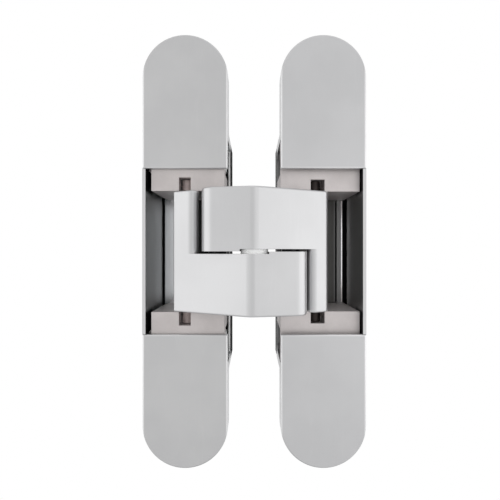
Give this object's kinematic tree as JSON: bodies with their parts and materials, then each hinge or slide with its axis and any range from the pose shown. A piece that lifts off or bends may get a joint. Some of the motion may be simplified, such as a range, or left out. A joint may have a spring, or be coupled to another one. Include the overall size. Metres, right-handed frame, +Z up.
{
  "type": "concealed invisible door hinge",
  "caption": "Concealed door hinge: round-ended mortise housings with pockets, interlocking arms on a centre pivot with slider pins, adjusting slides, screws and cover caps, shown fully open.",
  "frame": {"origin": "middle of the frame side's screw rows, on the back plane of that side's flange", "axes": "+X from the frame side to the door side, +Y into the mortises away from the cover caps' faces, +Z up along the pivots"},
  "size_m": [0.0785, 0.0486, 0.152],
  "materials": {
    "satin_zinc": "satin metallic coat on cast zinc alloy",
    "cast_zinc": "matt cast zinc alloy, uncoated",
    "bright_steel": "ground steel",
    "plated_screw": "zinc plated steel",
    "black_plastic": "fine moulded texture",
    "dark_sleeve": "smooth bearing plastic",
    "pale_polymer": "smooth bearing plastic"
  },
  "bodies": {
    "frame_housing_body": {"frame_housing": "satin_zinc", "frame_rear_tray": "black_plastic", "frame_upper_cap": "satin_zinc", "frame_lower_cap": "satin_zinc", "frame_height_clamp_screws": "plated_screw"},
    "height_slides": {"frame_upper_height_slide": "cast_zinc", "frame_lower_height_slide": "cast_zinc", "frame_side_clamp_screws": "plated_screw"},
    "frame_carriage_body": {"frame_carriage": "cast_zinc", "frame_pivot_pin": "bright_steel", "frame_thrust_washers": "pale_polymer", "frame_spacer_sleeve": "dark_sleeve"},
    "upper_arm_body": {"upper_arm": "satin_zinc", "upper_centre_bush": "dark_sleeve", "door_slider_pin": "bright_steel"},
    "lower_arm_body": {"lower_arm": "satin_zinc", "lower_centre_bush": "dark_sleeve", "centre_pin": "bright_steel", "centre_washer": "pale_polymer", "frame_slider_pin": "bright_steel"},
    "door_carriage_body": {"door_carriage": "cast_zinc", "door_pivot_pin": "bright_steel", "door_thrust_washers": "pale_polymer", "door_spacer_sleeve": "dark_sleeve"},
    "door_housing_body": {"door_housing": "satin_zinc", "door_rear_tray": "black_plastic", "door_upper_cap": "satin_zinc", "door_lower_cap": "satin_zinc"},
    "upper_depth_screw": {"door_upper_depth_screw": "plated_screw", "door_upper_screw_ring": "plated_screw"},
    "lower_depth_screw": {"door_lower_depth_screw": "plated_screw", "door_lower_screw_ring": "plated_screw"}
  },
  "joints": [
    {"name": "height_adjust", "type": "slide", "parent": "frame_housing_body", "child": "height_slides", "axis": [0, 0, 1], "range_m": [-0.002, 0.002]},
    {"name": "side_adjust", "type": "slide", "parent": "height_slides", "child": "frame_carriage_body", "axis": [1, 0, 0], "range_m": [-0.0012, 0]},
    {"name": "frame_pivot", "type": "hinge", "parent": "frame_carriage_body", "child": "upper_arm_body", "pos_m": [0.011, -0.0014, 0], "axis": [0, 0, 1], "range_deg": [-107.99, 0]},
    {"name": "centre_pivot", "type": "hinge", "parent": "upper_arm_body", "child": "lower_arm_body", "pos_m": [0.02425, -0.0163, 0], "axis": [0, 0, 1], "range_deg": [-0.01, 35.99]},
    {"name": "door_pivot", "type": "hinge", "parent": "lower_arm_body", "child": "door_carriage_body", "pos_m": [0.0375, -0.0014, 0], "axis": [0, 0, 1], "range_deg": [-108, 0.01]},
    {"name": "depth_adjust", "type": "slide", "parent": "door_carriage_body", "child": "door_housing_body", "axis": [0, 1, 0], "range_m": [-0.001, 0.001]},
    {"name": "upper_screw_turn", "type": "hinge", "parent": "door_carriage_body", "child": "upper_depth_screw", "pos_m": [0.0485, -0.0014, 0.035], "axis": [0, 1, 0], "range_deg": [-451, 451]},
    {"name": "lower_screw_turn", "type": "hinge", "parent": "door_carriage_body", "child": "lower_depth_screw", "pos_m": [0.0485, -0.0014, -0.035], "axis": [0, 1, 0], "range_deg": [-451, 451]}
  ],
  "couplings": [
    {"joint": "centre_pivot", "follows": "frame_pivot", "ratio": -0.3332},
    {"joint": "door_pivot", "follows": "frame_pivot", "ratio": 1},
    {"joint": "upper_screw_turn", "follows": "depth_adjust", "rad_per_m": 7854},
    {"joint": "lower_screw_turn", "follows": "depth_adjust", "rad_per_m": 7854}
  ]
}
